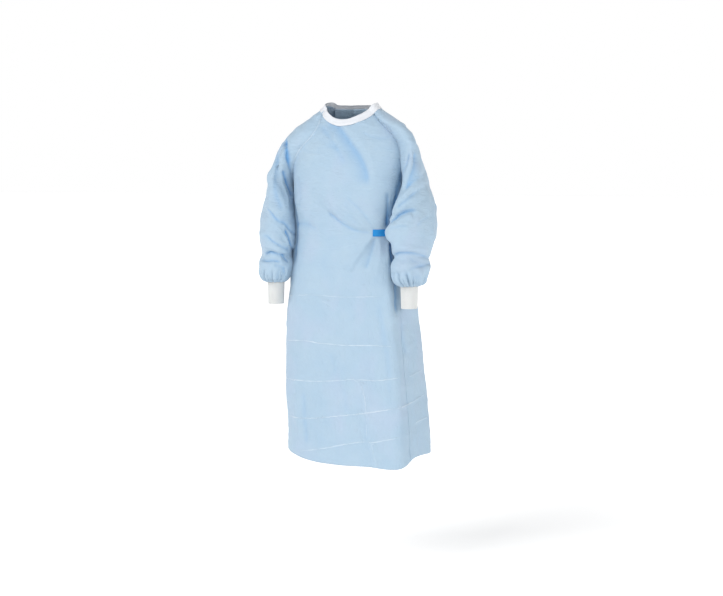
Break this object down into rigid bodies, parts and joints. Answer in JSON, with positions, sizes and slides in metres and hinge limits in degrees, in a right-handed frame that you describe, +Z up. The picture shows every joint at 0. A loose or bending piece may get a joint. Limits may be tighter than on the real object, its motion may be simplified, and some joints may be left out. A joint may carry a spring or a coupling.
{
  "type": "surgical gown",
  "caption": "Long-sleeved wraparound surgical gown in its worn, hollow form, with raglan sleeves, knit cuffs, a bound neck and a tape tie at the left of the waist.",
  "frame": {"origin": "base of the neck, between the shoulders, where the wearer holds the gown up", "axes": "+Z up, -Y the gown's front, +X the wearer's left"},
  "size_m": [0.565, 0.3195, 1.1073],
  "materials": {
    "gown": "pale blue nonwoven cloth, crisp and matt, with fine embossed texture",
    "knit": "white rib knit",
    "binding": "white soft binding",
    "tape": "bright blue nonwoven tape, matt"
  },
  "bodies": {
    "root": {"front": "gown", "back_wing_outer": "gown", "back_wing_inner": "gown", "sleeve_right": "gown", "sleeve_left": "gown", "cuff_right": "knit", "cuff_left": "knit", "neck_binding": "binding", "neck_tab": "binding", "tie_front": "tape", "tie_wing": "tape", "tie_knot": "tape", "tie_loop": "tape", "tie_end": "tape", "tie_tail_wide": "tape", "tie_tail_narrow": "tape"}
  },
  "joints": []
}
